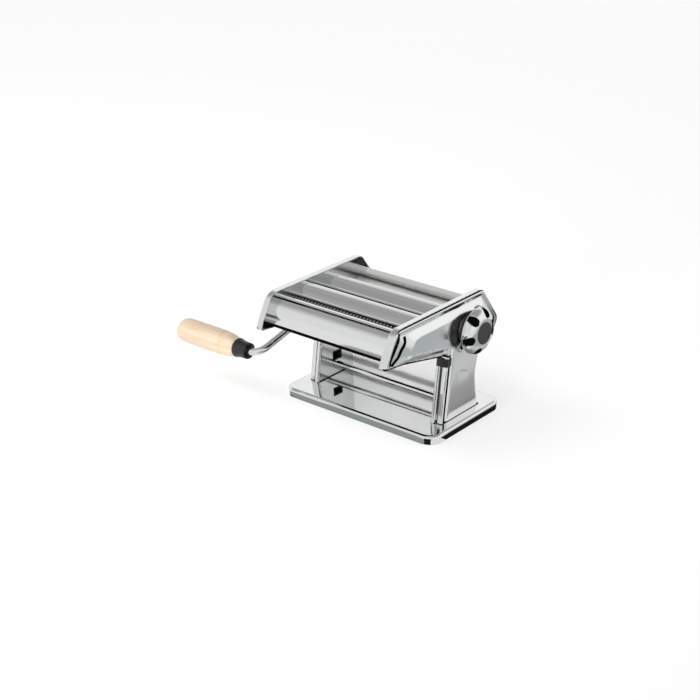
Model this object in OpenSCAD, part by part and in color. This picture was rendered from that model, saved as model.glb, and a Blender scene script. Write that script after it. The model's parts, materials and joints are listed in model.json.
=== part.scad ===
// Hand-cranked pasta machine: two smooth sheeting rollers with a gap adjuster,
// a pair of wide cutters and a pair of narrow cutters in one side-plated head
// on two columns over a low base. X runs along the rollers, the knob is at +X,
// the feeding front is at -Y, and the feet stand on z = 0.

/* [Base] */
// How far the base stands out past each inner plate
base_side = 24.2; // [22:0.2:30]
// Depth of the base, front to back
base_depth = 125.4; // [120:0.2:150]
// Height of the base's top above the table
base_h = 10.7; // [10:0.1:14]
// Corner radius of the base, seen from above
base_corner_r = 15; // [10:1:20]
// Radius of a rubber foot
foot_r = 8; // [6:0.5:10]

/* [Head] */
// Clear width between the two inner plates
plate_gap = 152; // [140:1:180]
// Height of the knob's axis above the table
axis_h = 103.5; // [100:0.5:120]
// Sheet thickness of the side shells
shell_t = 1.2; // [1:0.1:1.2]
// Sheet thickness of the covers
cover_t = 0.8; // [0.6:0.1:0.8]
// Thickness of the inner plates
plate_t = 1.5; // [1.2:0.1:1.5]
// Radius of the half-round front cover
front_r = 17; // [16.8:0.1:17.4]

/* [Rollers and cutters] */
// Radius of the two smooth rollers
roller_r = 13.5; // [13.2:0.1:13.5]
// Smallest gap between the smooth rollers
fine_gap = 0.2; // [0.2:0.05:0.4]
// How far the gap opens when the knob is turned all the way
gap_travel = 2.2; // [1.6:0.1:2.2]
// Outer radius of the cutters' ribs
cutter_r = 12; // [11.8:0.1:12]
// How far the ribs of one cutter reach between those of the other
cutter_bite = 0.8; // [0.5:0.1:0.8]
// Number of ribs on each narrow cutter
narrow_ribs = 35; // [25:1:35]
// Number of ribs on the rear wide cutter
wide_ribs = 12; // [8:1:14]

/* [Crank] */
// Length of the crank's arm
arm_len = 136.9; // [125:0.1:150]
// Radius of the crank's rod
rod_r = 4; // [3.6:0.1:4]
// Radius of the wooden grip
grip_r = 13.7; // [12:0.1:15]
// Length of the wooden grip with its neck
grip_len = 84; // [75:1:95]

/* [Knob] */
// Radius of the knob's chromed rim
knob_r = 24.5; // [23:0.5:26]
// How far the knob pulls out
knob_pull = 4; // [3:0.5:4]
// Radius of the knob's round face cap
cap_r = 11.7; // [10:0.1:12]

/* [Hidden] */
$fn = 64;
facet_n = 32;
fit = 0.05;
slide_fit = 0.1;
air = 0.3;
far = 400;

// Layers on each side, as distances from the middle
in_x = plate_gap / 2;
plate_x = in_x + plate_t;
border_x = in_x + 8;
panel_x = in_x + 12;
panel_in_x = panel_x - shell_t;
roll_x = in_x - air;
flange_x = plate_x + 1.7;
gear_x = flange_x + 0.4;
gear_w = 3.6;
gear_end_x = gear_x + gear_w;
cam_x = gear_end_x + 0.4;
cam_w = 1.7;
cam_end_x = cam_x + cam_w;
index_end_x = panel_x + 1.4;

// The row of axes falls 0.1 in 1 toward the back
row_tilt = atan(0.1);
function along_row(s) = [12.2 + s * cos(row_tilt), axis_h - s * sin(row_tilt)];
axis_step = 27.2;
roller_step = 2 * roller_r + fine_gap;
roller_shift = axis_step - roller_step;
cutter_step = 2 * cutter_r - cutter_bite;
knob_axis = along_row(0);
drive_axis = along_row(axis_step);
wide_rear_axis = along_row(-28.3);
wide_front_axis = along_row(-28.3 - cutter_step);
narrow_rear_axis = along_row(-76.1);
narrow_front_axis = along_row(-76.1 - cutter_step);
roller_axis = along_row(roller_shift);

// Shafts, sockets and bearings
journal_r = 6.5;
bush_r = 8;
bush_flange_r = 9.5;
neck_r = 9;
neck_bore_r = 6.9;
shaft_r = 4;
socket_r = rod_r + 0.08;
socket_depth = 16;
tang_depth = 8;
tang_t = 4;
block_half = 10.6;
block_flange = 11.8;
cam_big_r = 7.2;
cam_turn = 300;
foot_h = 2.2;
pan_t = 2;
base_len = plate_gap + 2 * base_side;
base_t = 1.2;

// ---- Helpers ----

// Draws its children on the knob's side, or mirrored on the crank's side
module on_side(s) {
    if (s > 0) children();
    else mirror([1, 0, 0]) children();
}

// Extrudes an outline given in (y, z) from x0 to x1
module along_x(x0, x1) {
    translate([x0, 0, 0]) rotate([90, 0, 90]) linear_extrude(x1 - x0) children();
}

// Round bar along X at an axis given as [y, z]
module bar_x(x0, x1, r, axis) {
    translate([x0, axis[0], axis[1]]) rotate([0, 90, 0]) cylinder(h = x1 - x0, r = r);
}

// Body of revolution about an axis along X, its outline given as [radius, x]
module turned(profile, axis) {
    translate([0, axis[0], axis[1]]) rotate([0, 90, 0]) rotate_extrude() polygon(profile);
}

module box_x(x0, x1, y0, y1, z0, z1) {
    translate([x0, y0, z0]) cube([x1 - x0, y1 - y0, z1 - z0]);
}

function unit(v) = v / norm(v);
function cross2(a, b) = a[0] * b[1] - a[1] * b[0];

// Arc that rounds the corner q between its neighbours p and s
function fillet(p, q, s, r) =
    let (u = unit(p - q), v = unit(s - q),
        half = acos(u * v) / 2,
        centre = q + unit(u + v) * r / sin(half),
        start = q + u * r / tan(half) - centre,
        turn = (cross2(u, v) < 0 ? 1 : -1) * (180 - 2 * half),
        a0 = atan2(start[1], start[0]),
        n = max(1, ceil(abs(turn) / 12)))
    [for (i = [0:n]) centre + r * [cos(a0 + turn * i / n), sin(a0 + turn * i / n)]];

// Closed outline through corners given as [y, z, corner radius], 0 for a sharp one
function rounded(c) =
    let (n = len(c), xy = [for (k = c) [k[0], k[1]]])
    [for (i = [0:n - 1]) each c[i][2] == 0 ? [xy[i]] :
        fillet(xy[(i + n - 1) % n], xy[i], xy[(i + 1) % n], c[i][2])];

// Outline moved inward by d, its corners kept sharp
function inset(p, d) =
    let (n = len(p))
    [for (i = [0:n - 1])
        let (a = unit(p[i] - p[(i + n - 1) % n]), b = unit(p[(i + 1) % n] - p[i]),
            na = [-a[1], a[0]], nb = [-b[1], b[0]])
        p[i] + (na + nb) * d / (1 + na * nb)];

// Bent sheet: an open line thickened by t to its right-hand side
function bent(p, t) =
    let (n = len(p),
        dirs = [for (i = [0:n - 2]) unit(p[i + 1] - p[i])],
        side = [for (i = [0:n - 1])
            let (a = dirs[max(i - 1, 0)], b = dirs[min(i, n - 2)],
                na = [a[1], -a[0]], nb = [b[1], -b[0]])
            (na + nb) / (1 + na * nb)])
    concat(p, [for (i = [n - 1:-1:0]) p[i] + side[i] * t]);

function arc(c, r, a0, a1, n) =
    [for (i = [0:n]) c + r * [cos(a0 + (a1 - a0) * i / n), sin(a0 + (a1 - a0) * i / n)]];

// ---- Base ----

module rounded_plate(len, dep, r, z0, z1) {
    translate([0, 0, z0]) linear_extrude(z1 - z0) union() {
        square([len - 2 * r, dep], center = true);
        square([len, dep - 2 * r], center = true);
        for (sx = [-1, 1], sy = [-1, 1])
            translate([sx * (len / 2 - r), sy * (dep / 2 - r)]) circle(r);
    }
}

base_round = 3.6;
base_low = 1;
foot_places = [for (sx = [-1, 1], sy = [-1, 1]) [sx * (base_len / 2 - 20), sy * (base_depth / 2 - 20)]];
screw_places = [for (sx = [-1, 1], sy = [-1, 1]) [sx * (plate_x + 4.2), sy * 14]];

module base_cover() {
    color("silver") difference() {
        hull() {
            for (a = [0, 30, 60, 90]) {
                cut = base_round * (1 - cos(a));
                z = base_h - base_round * (1 - sin(a));
                rounded_plate(base_len - 2 * cut, base_depth - 2 * cut, base_corner_r - cut,
                    a == 0 ? base_low : z - 0.02, z, $fn = facet_n);
            }
        }
        rounded_plate(base_len - 2 * base_t, base_depth - 2 * base_t, base_corner_r - base_t,
            -1, base_h - base_round);
        rounded_plate(base_len - 2 * base_round, base_depth - 2 * base_round,
            base_corner_r - base_round, base_h - base_round - 1, base_h - base_t);
        for (p = screw_places) translate([p[0], p[1], 0]) cylinder(h = far, r = 2.2);
    }
}

module base_pan() {
    color("dimgray") difference() {
        rounded_plate(base_len - 2 * base_t, base_depth - 2 * base_t, base_corner_r - base_t,
            foot_h, foot_h + pan_t);
        for (p = foot_places) translate([p[0], p[1], 0]) cylinder(h = far, r = 3);
        for (p = screw_places) translate([p[0], p[1], 0]) cylinder(h = far, r = 4.5);
    }
}

module rubber_feet() {
    color("#222222") for (p = foot_places) translate([p[0], p[1], 0]) rotate_extrude()
        polygon([[0, 0], [foot_r - 0.6, 0], [foot_r, 0.8], [foot_r, foot_h], [3, foot_h],
            [3, foot_h + pan_t], [4.4, foot_h + pan_t], [3, foot_h + pan_t + 1.4],
            [0, foot_h + pan_t + 1.4]]);
}

// Steel blocks inside the columns that take the screws from below
module foot_blocks() {
    color("gray") for (s = [-1, 1]) on_side(s) difference() {
        box_x(plate_x, panel_in_x - 0.4, -20, 20, base_h, base_h + 7);
        for (y = [-14, 14]) translate([plate_x + 4.2, y, 0]) cylinder(h = far, r = 2);
    }
}

module base_screws() {
    color("gray") for (p = screw_places) translate([p[0], p[1], base_h - base_t]) union() {
        translate([0, 0, -2.4]) cylinder(h = 2.4, r = 3.8);
        cylinder(h = 7, r = 2);
    }
}

// ---- Head: side shells and inner plates ----

head_corners = [[-121.5, -3.2, 2.8], [-92, -6.3, 40], [-40, -17.2, 40], [-18, -21.8, 0],
    [-15, -33, 0], [33, -35.5, 0], [60.5, -24.5, 14], [73.2, -7.5, 9], [42.7, 32.9, 10],
    [-103.8, 32.9, 16], [-117.2, 7.5, 30]];
border_corners = [[-112.5, 0.5], [-95, -3.6], [-15, -15.8], [33, -27], [56, -18], [65, -7],
    [38, 25.4], [-99.5, 25.4], [-109, 9]];
panel_corners = [[-84.5, 1], [-15, -12], [33, -22], [47, -13], [54, -5], [36, 18.4],
    [-69.3, 18.4], [-77.4, 16.9], [-83, 7]];
function lift(c) = [for (p = c) [for (i = [0:len(p) - 1]) p[i] + (i == 1 ? axis_h : 0)]];
head_line = rounded(lift(head_corners));
border_line = lift(border_corners);
panel_line = lift(panel_corners);

// Column outline, leaning forward toward its foot and waisted at the back
function column_outline(foot) = rounded([[-31.3, foot, 0], [35, foot, 0],
    [28.3, axis_h - 53.5, 40], [33.5, axis_h - 35, 6], [44, axis_h - 29, 0],
    [44, axis_h - 13, 0], [-19, axis_h - 13, 0], [-22.4, axis_h - 20.5, 0]]);
column_line = column_outline(base_h);
bead_x = in_x + 3.8;
bead_out = 2;
bead_root = 1;

// Front flange of an inner plate, in front of the shell, reaching back by deep
function bead_line(deep) = [[-31.3 - bead_out, base_h], [-31.3 + deep, base_h],
    [-22.6 + deep, axis_h - 24], [-22.6 - bead_out, axis_h - 24]];

module shell_solid(d, x_panel, x_border, foot) {
    x_open = d > 0 ? 1 : 0;
    along_x(in_x - x_open, x_border) polygon(inset(head_line, d));
    hull() {
        along_x(x_border - 0.2, x_border) polygon(inset(border_line, d / 2));
        along_x(x_panel - 0.2, x_panel) polygon(inset(panel_line, d / 2));
    }
    along_x(plate_x + slide_fit - x_open, x_panel) polygon(inset(column_outline(foot), d));
}

module side_shell(holes) {
    color("silver") difference() {
        shell_solid(0, panel_x, border_x, base_h);
        shell_solid(shell_t, panel_in_x, border_x - shell_t, base_h - 5);
        along_x(in_x - 1, plate_x + slide_fit) polygon(inset(column_line, -slide_fit));
        for (h = holes) bar_x(in_x, far, h[1], h[0]);
    }
}

access_r = 8;
left_holes = [[drive_axis, access_r], [wide_rear_axis, access_r], [narrow_rear_axis, access_r]];
index_screw_r = knob_r - 1.5;
index_places = [for (a = [50, 230]) knob_axis + index_screw_r * [cos(a), sin(a)]];
right_holes = concat([[knob_axis, 6]], [for (p = index_places) [p, 1.6]]);

module left_side_shell() {
    on_side(-1) side_shell(left_holes);
}

module right_side_shell() {
    side_shell(right_holes);
}

spacer_places = lift([[-3.5, 16.5], [-50.5, 18.5], [57, -11.5]]);
tie_axis = [0, base_h + 11.8];
bush_places = [drive_axis, wide_rear_axis, wide_front_axis, narrow_rear_axis, narrow_front_axis];
clamp_y = 8;
clamp_low = base_h + 16.3;
clamp_high = clamp_low + 12;

module row_frame(axis) {
    translate([0, axis[0], axis[1]]) rotate([-row_tilt, 0, 0]) children();
}

module inner_plate(window) {
    color("gainsboro") difference() {
        union() {
            along_x(in_x, plate_x) polygon(inset(head_line, shell_t + slide_fit));
            along_x(in_x, plate_x) polygon(column_line);
            along_x(in_x, plate_x) polygon(bead_line(bead_root));
            along_x(in_x, bead_x) polygon(bead_line(-slide_fit));
        }
        for (p = bush_places) bar_x(0, far, bush_r, p);
        for (p = spacer_places) bar_x(0, far, 2, p);
        bar_x(0, far, 2.5, tie_axis);
        row_frame(roller_axis) box_x(0, far, -block_half - gap_travel - slide_fit,
            block_half + slide_fit, -block_half - slide_fit, block_half + slide_fit);
        if (window) box_x(0, far, -clamp_y, clamp_y, clamp_low, clamp_high);
    }
}

module left_inner_plate() {
    on_side(-1) inner_plate(true);
}

module right_inner_plate() {
    inner_plate(false);
}

// Rod between the columns, with thinner ends through the plates
module tie_rod() {
    color("silver") union() {
        bar_x(-in_x, in_x, 3.5, tie_axis);
        bar_x(-plate_x - 3.4, plate_x + 3.4, 2.5, tie_axis);
    }
}

module hex_nut(x0, x1, r, hole, axis) {
    translate([x0, axis[0], axis[1]]) rotate([0, 90, 0]) difference() {
        cylinder(h = x1 - x0, r = r, $fn = 6);
        translate([0, 0, -1]) cylinder(h = x1 - x0 + 2, r = hole);
    }
}

module tie_rod_nuts() {
    color("gray") for (s = [-1, 1]) on_side(s) hex_nut(plate_x, plate_x + 3, 4.6, 2.5, tie_axis);
}

module head_spacers() {
    color("silver") for (p = spacer_places) union() {
        bar_x(-in_x, in_x, 3, p);
        bar_x(-flange_x, flange_x, 2, p);
    }
}

module spacer_nuts() {
    color("gray") for (s = [-1, 1], p = spacer_places)
        on_side(s) hex_nut(plate_x, flange_x, 3.7, 2, p);
}

// Upright sheet behind which the dough sheet leaves, standing on the base
module slide_plate() {
    color("gainsboro") box_x(-in_x, in_x, 27, 28, base_h, axis_h - 22);
}

// Black pocket in the left column that takes the table clamp's bar
module clamp_socket() {
    color("#1a1a1a") on_side(-1) difference() {
        box_x(in_x, in_x + 9.5, -clamp_y, clamp_y, clamp_low, clamp_high);
        box_x(0, in_x + 8.5, -clamp_y + 1.5, clamp_y - 1.5, clamp_low + 1.5, clamp_high - 1.5);
    }
}

// ---- Head: covers ----

module cover(line) {
    along_x(-in_x, in_x) polygon(bent(line, cover_t));
}

module rear_cover() {
    color("silver") cover(concat(lift([[34, 14.5], [34, 17.9]]), lift([[46.5, 18.5]]),
        arc([47, axis_h + 16.5], 2.2, 75, 36, 3),
        lift([[62.5, -3]]), arc([60, axis_h - 8.5], 6.5, 30, -25, 4), lift([[63.5, -18]])));
}

// Arched cover over a pair of rollers: front lip, crown, then down over the rear one
module arch(front_lip, crown, rear) {
    cover(concat([front_lip, front_lip + [0.5, 1.6]],
        [crown + [-11, -2.1], crown + [-5.5, -0.4]], [crown, crown + [3, -0.9], crown + [6, -4.2]],
        rear));
}

module rear_arch_cover() {
    color("silver") arch([-22.4, axis_h + 17.6], [-4.3, axis_h + 25.5],
        arc(along_row(-gap_travel / 2), roller_r + 1.7, 119, 69, 6));
}

module front_arch_cover() {
    color("silver") arch([-67.1, axis_h + 20.6], [-49, axis_h + 29.2],
        arc(wide_front_axis, 14.6, 84, 60, 3));
}

front_axis = [-89, axis_h + 8.5];

module front_cover() {
    color("silver") cover(arc(front_axis, front_r, 267, 109, 16));
}

module guard_bar() {
    color("silver") cover(lift([[-90.5, 22], [-90.2, 25.2], [-88.5, 25.6], [-85.5, 25.4]]));
}

// ---- Head: scrapers, combs and bushes ----

// Scraper blades under the smooth rollers, each with a stiff foot
module roller_scrapers() {
    color("gainsboro") along_x(-in_x, in_x) polygon(lift([[13.8, -14], [12.4, -14.1],
        [4, -21], [4, -24], [6, -24], [6, -21.6]]));
    color("gainsboro") along_x(-in_x, in_x) polygon(lift([[44.8, -16], [46.2, -16.1],
        [52, -22], [52, -24], [50, -24], [50, -22.6]]));
}

core_gap = 0.5;
core_r = cutter_r - 2.5;
narrow_pitch = (2 * in_x - 2) / narrow_ribs;
wide_pitch = (2 * in_x - 2) / (wide_ribs - 0.5);

function rib_x(pitch, i, phase) = -in_x + 1 + (i + phase) * pitch;

// Bar along X beside a cutter with teeth that reach into its grooves
module comb(axis, angle, pitch, n, phase, tooth) {
    translate([0, axis[0], axis[1]]) rotate([angle, 0, 0]) union() {
        box_x(-in_x, in_x, cutter_r + 0.8, cutter_r + 4.3, -1.6, 1.6);
        for (i = [0:n - 1]) {
            x = rib_x(pitch, i, phase);
            box_x(x - tooth / 2, x + tooth / 2, core_r + core_gap, cutter_r + 1, -0.9, 0.9);
        }
    }
}

module wide_combs() {
    color("#e8e8e8") union() {
        comb(wide_rear_axis, -98, wide_pitch, wide_ribs - 1, 0.75, wide_pitch / 2 - 1);
        comb(wide_front_axis, -80, wide_pitch, wide_ribs, 0.25, wide_pitch / 2 - 1);
    }
}

module narrow_combs() {
    color("#e8e8e8") union() {
        comb(narrow_rear_axis, -98, narrow_pitch, narrow_ribs, 0.75, narrow_pitch / 2 - 0.6);
        comb(narrow_front_axis, -76, narrow_pitch, narrow_ribs, 0.25, narrow_pitch / 2 - 0.6);
    }
}

// Flanged bush in an inner plate
module bush(axis) {
    difference() {
        union() {
            bar_x(in_x, flange_x, bush_r, axis);
            bar_x(plate_x, flange_x, bush_flange_r, axis);
        }
        bar_x(0, far, journal_r + fit, axis);
    }
}

module roller_bushes() {
    color("goldenrod") for (s = [-1, 1]) on_side(s) bush(drive_axis);
}

module cutter_bushes() {
    color("goldenrod") for (s = [-1, 1], i = [1:4]) on_side(s) bush(bush_places[i]);
}

// Bushes that carry the adjusting shaft in the side shells
module shaft_bushes() {
    color("goldenrod") {
        on_side(-1) difference() {
            bar_x(cam_end_x + air, panel_in_x, 7, knob_axis);
            bar_x(0, far, shaft_r + fit, knob_axis);
        }
        difference() {
            union() {
                bar_x(cam_end_x + air, panel_in_x, 8, knob_axis);
                bar_x(panel_in_x, panel_x + 0.8, 6, knob_axis);
            }
            bar_x(0, far, shaft_r + fit, knob_axis);
        }
    }
}

// Plate with a ring of index holes behind the knob, held by two screws
module index_plate() {
    color("gray") difference() {
        union() {
            bar_x(panel_x, index_end_x, 16, knob_axis);
            translate([panel_x, knob_axis[0], knob_axis[1]]) rotate([50, 0, 0])
                box_x(0, index_end_x - panel_x, -index_screw_r, index_screw_r, -3.6, 3.6);
            for (p = index_places) bar_x(panel_x, index_end_x, 3.6, p);
        }
        bar_x(0, far, 6, knob_axis);
        for (a = [0:36:324]) bar_x(0, far, 1.4, knob_axis + 13 * [cos(a), sin(a)]);
        for (p = index_places) bar_x(0, far, 1.6, p);
    }
}

module index_screws() {
    color("silver") for (p = index_places) union() {
        bar_x(panel_in_x - 1, index_end_x, 1.6, p);
        turned([[0, index_end_x], [2.9, index_end_x], [2.9, index_end_x + 0.5],
            [1.9, index_end_x + 1.2], [0, index_end_x + 1.4]], p);
    }
}

// ---- Gears ----

gear_teeth = 12;
pressure = 20;
function involute(a) = tan(a) * 180 / PI - a;

// Point on a tooth's flank at radius r, on the side given by sign
function flank(r, pitch_r, slack, sign) =
    let (base_r = pitch_r * cos(pressure),
        half = 90 / gear_teeth - slack / (2 * pitch_r) * 180 / PI + involute(pressure)
            - involute(acos(min(1, base_r / r))))
    r * [cos(sign * half), sin(sign * half)];

function turn2(p, a) = [p[0] * cos(a) - p[1] * sin(a), p[0] * sin(a) + p[1] * cos(a)];

function gear_line(pitch_r, high, low, slack) =
    let (base_r = pitch_r * cos(pressure), steps = 4)
    [for (t = [0:gear_teeth - 1]) each
        [for (p = concat(
            [turn2(flank(base_r, pitch_r, slack, -1) * (pitch_r - low) / base_r, -1)],
            [for (i = [0:steps]) flank(base_r + (pitch_r + high - base_r) * i / steps, pitch_r, slack, -1)],
            [for (i = [steps:-1:0]) flank(base_r + (pitch_r + high - base_r) * i / steps, pitch_r, slack, 1)],
            [turn2(flank(base_r, pitch_r, slack, 1) * (pitch_r - low) / base_r, 1)]))
            turn2(p, t * 360 / gear_teeth)]];

// Gear with a tooth, or a space, facing along the row toward its mate
module gear(axis, pitch_r, high, low, slack, turn, bore) {
    difference() {
        translate([0, axis[0], axis[1]]) rotate([-row_tilt + turn, 0, 0])
            along_x(gear_x, gear_end_x) polygon(gear_line(pitch_r, high, low, slack));
        bar_x(0, far, bore, axis);
    }
}

half_tooth = 180 / gear_teeth;
roller_slack = 0.5;
cutter_slack = 0.45;

module roller_gear(axis, turn, bore) {
    color("#d9d9d9") on_side(-1)
        gear(axis, roller_step / 2, 2.05, 2.75, roller_slack, turn, bore);
}

module cutter_gear(s, axis, turn) {
    color("#d9d9d9") on_side(s)
        gear(axis, cutter_step / 2, 1.75, 2.3, cutter_slack, turn, journal_r);
}

module drive_gear() {
    roller_gear(drive_axis, half_tooth, journal_r);
}

module adjustable_gear() {
    roller_gear(roller_axis, 0, neck_r);
}

module wide_rear_gear() {
    cutter_gear(1, wide_rear_axis, half_tooth);
}

module wide_front_gear() {
    cutter_gear(1, wide_front_axis, 0);
}

module narrow_rear_gear() {
    cutter_gear(-1, narrow_rear_axis, half_tooth);
}

module narrow_front_gear() {
    cutter_gear(-1, narrow_front_axis, 0);
}

// ---- Rollers and cutters ----

// Socket in the left end of a shaft: a bore, then a slot for the crank's tang
module socket(axis) {
    bar_x(-gear_end_x - 1, -gear_end_x - 0.4 + socket_depth, socket_r, axis);
    translate([0, axis[0], axis[1]]) box_x(-gear_end_x - 1 + socket_depth,
        -gear_end_x + socket_depth + tang_depth,
        -tang_t / 2 - air, tang_t / 2 + air, -socket_r - air, socket_r + air);
}

module drive_roller() {
    color("silver") difference() {
        turned([[0, -gear_end_x - 0.4], [journal_r, -gear_end_x - 0.4], [journal_r, -roll_x],
            [roller_r, -roll_x], [roller_r, roll_x], [journal_r, roll_x], [journal_r, flange_x],
            [0, flange_x]], drive_axis);
        socket(drive_axis);
    }
}

module adjustable_roller() {
    color("silver") difference() {
        turned([[0, -gear_end_x], [neck_r, -gear_end_x], [neck_r, -roll_x],
            [roller_r, -roll_x], [roller_r, roll_x], [neck_r, roll_x], [neck_r, flange_x],
            [0, flange_x]], roller_axis);
        bar_x(-far, far, neck_bore_r, roller_axis);
    }
}

// Shaft with ribs, its outline running from the left end to the right one
module cutter(axis, left_x, right_x, pitch, n, phase) {
    half = pitch / 4 - air / 2;
    turned(concat([[0, left_x], [journal_r, left_x], [journal_r, -roll_x], [core_r, -roll_x]],
        [for (i = [0:n - 1]) let (x = rib_x(pitch, i, phase))
            each [[core_r, x - half], [cutter_r, x - half], [cutter_r, x + half], [core_r, x + half]]],
        [[core_r, roll_x], [journal_r, roll_x], [journal_r, right_x], [0, right_x]]), axis);
}

module wide_rear_cutter() {
    color("silver") difference() {
        cutter(wide_rear_axis, -gear_end_x, gear_end_x, wide_pitch, wide_ribs, 0.25);
        socket(wide_rear_axis);
    }
}

module wide_front_cutter() {
    color("silver") cutter(wide_front_axis, -flange_x, gear_end_x, wide_pitch, wide_ribs - 1, 0.75);
}

module narrow_rear_cutter() {
    color("silver") difference() {
        cutter(narrow_rear_axis, -gear_end_x, flange_x, narrow_pitch, narrow_ribs, 0.25);
        socket(narrow_rear_axis);
    }
}

module narrow_front_cutter() {
    color("silver")
        cutter(narrow_front_axis, -gear_end_x, flange_x, narrow_pitch, narrow_ribs, 0.75);
}

// ---- Gap adjuster ----

follower_y = cam_big_r + slide_fit - roller_shift;
follower_z = -roller_r - 8;

// Blocks that carry the adjustable roller and slide along the row in the plates
module bearing_blocks() {
    color("goldenrod") for (s = [-1, 1]) on_side(s) difference() {
        row_frame(roller_axis) union() {
            box_x(in_x, plate_x + slide_fit, -block_half, block_half, -block_half, block_half);
            box_x(plate_x + slide_fit, flange_x, -block_flange, block_flange,
                -block_flange, block_flange);
            box_x(plate_x + slide_fit, flange_x, follower_y, follower_y + 4, follower_z, 0);
        }
        bar_x(0, far, neck_r + fit, roller_axis);
    }
}

// Posts and bars that reach round the gear to the cams
module cam_followers() {
    color("gray") for (s = [-1, 1]) on_side(s) row_frame(roller_axis) union() {
        box_x(flange_x, cam_end_x, follower_y, follower_y + 4, follower_z, follower_z + 4);
        box_x(cam_x, cam_end_x, follower_y, follower_y + 4, follower_z, 3);
    }
}

module adjusting_shaft() {
    color("silver") bar_x(-panel_in_x + slide_fit, spring_end_x + 1.6, shaft_r, knob_axis);
}

// Snail cams whose radius shrinks evenly as the knob turns
module adjusting_cams() {
    steps = 30;
    line = [for (i = [0:steps]) let (a = cam_turn * i / steps)
        (cam_big_r - gap_travel * i / steps) * [cos(a), sin(a)]];
    color("gray") for (s = [-1, 1]) difference() {
        on_side(s) translate([0, knob_axis[0], knob_axis[1]]) rotate([-row_tilt, 0, 0])
            along_x(cam_x, cam_end_x) polygon([for (p = line) [p[0], -p[1]]]);
        bar_x(-far, far, shaft_r, knob_axis);
    }
}

// ---- Knob ----

barrel_r = knob_r - 4;
barrel_x = index_end_x + 0.5;
rim_x = panel_x + 8;
face_x = panel_x + 20.5;
spring_x = panel_x + 6;
spring_end_x = panel_x + 15.8;
spring_wire_r = 0.6;
spring_coil_r = 6;

// Dark body of the knob with the index pin on its back
module knob_barrel() {
    color("#202022") difference() {
        union() {
            turned([[0, barrel_x], [barrel_r - 1.5, barrel_x], [barrel_r, barrel_x + 1.5],
                [barrel_r, rim_x + 1], [cap_r, face_x - 3.4], [cap_r, face_x - 2.4],
                [0, face_x - 2.4]], knob_axis);
            bar_x(barrel_x - 0.4, barrel_x + 1, 1.2, knob_axis + [13, 0]);
        }
        bar_x(0, far, shaft_r + fit, knob_axis);
        bar_x(spring_x, far, 8.2, knob_axis);
    }
}

// Chromed dome over the front of the knob, open in the middle
module knob_shell() {
    dome = [for (i = [0:8]) let (a = 90 * i / 8)
        [cap_r + 0.6 + (knob_r - cap_r - 0.6) * cos(a), rim_x + 2 + (face_x - rim_x - 3.2) * sin(a)]];
    inner = [for (i = [8:-1:0]) let (a = 90 * i / 8)
        [cap_r + 0.6 + (knob_r - cap_r - 1.8) * cos(a), rim_x + 2 + (face_x - rim_x - 4.4) * sin(a)]];
    color("silver") turned(concat([[knob_r - 1.2, rim_x], [knob_r, rim_x]], dome,
        [[cap_r, face_x - 1.2], [cap_r, face_x - 2.4]], inner), knob_axis);
}

module knob_cap() {
    color("#4a4a4c") turned([[0, face_x - 2.4], [cap_r, face_x - 2.4], [cap_r, face_x - 0.6],
        [cap_r - 0.6, face_x], [0, face_x]], knob_axis);
}

// Coil spring that pulls the knob home
module knob_spring() {
    turns = 5;
    ring_n = 14;
    side_n = 8;
    count = turns * ring_n;
    x0 = spring_x + spring_wire_r;
    run = spring_end_x - spring_x - 2 * spring_wire_r;
    points = [for (k = [0:count]) for (j = [0:side_n - 1])
        let (a = 360 * k / ring_n, b = 360 * j / side_n,
            r = spring_coil_r + spring_wire_r * cos(b))
        [x0 + run * k / count + spring_wire_r * sin(b), knob_axis[0] + r * cos(a),
            knob_axis[1] + r * sin(a)]];
    walls = [for (k = [0:count - 1]) for (j = [0:side_n - 1])
        let (p = k * side_n + j, q = k * side_n + (j + 1) % side_n)
        each [[p, q, q + side_n], [p, q + side_n, p + side_n]]];
    caps = [[for (j = [side_n - 1:-1:0]) j], [for (j = [0:side_n - 1]) count * side_n + j]];
    color("gray") polyhedron(points, concat(walls, caps));
}

module spring_washer() {
    color("gray") difference() {
        bar_x(spring_end_x, spring_end_x + 1.2, 7.4, knob_axis);
        bar_x(0, far, shaft_r, knob_axis);
    }
}

// ---- Crank ----

arm_angle = 19.9;
inner_bend_x = border_x + 12;
outer_bend_x = base_len / 2 + 10.8;
bend_r = 14;
splay = atan((outer_bend_x - inner_bend_x) / arm_len);
arm_run = arm_len / cos(splay);
ferrule_x = outer_bend_x + 12;
ferrule_w = 17;
grip_x = ferrule_x + ferrule_w;
grip_end_x = grip_x + grip_len;
spindle_end_x = grip_end_x - 8;

// Places its children with the crank's arm along +Y in the XY plane
module crank_frame() {
    translate([0, drive_axis[0], drive_axis[1]]) rotate([arm_angle, 0, 0]) rotate([0, 0, 180]) children();
}

// Straight length of the rod between two points, each end sunk into its bend
module straight(from, to, sunk_from, sunk_to) {
    run = to - from;
    translate([from[0], from[1], 0]) rotate([0, 0, atan2(run[1], run[0])]) translate([-sunk_from, 0, 0])
        rotate([0, 90, 0]) cylinder(h = norm(run) + sunk_from + sunk_to, r = rod_r);
}

// Bent length of the rod, a hair thicker than the straight ones that end in it
module bend(centre, start, turn) {
    translate([centre[0], centre[1], 0]) rotate([0, 0, start]) rotate_extrude(angle = turn)
        translate([bend_r, 0]) circle(rod_r + fit);
}

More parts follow.
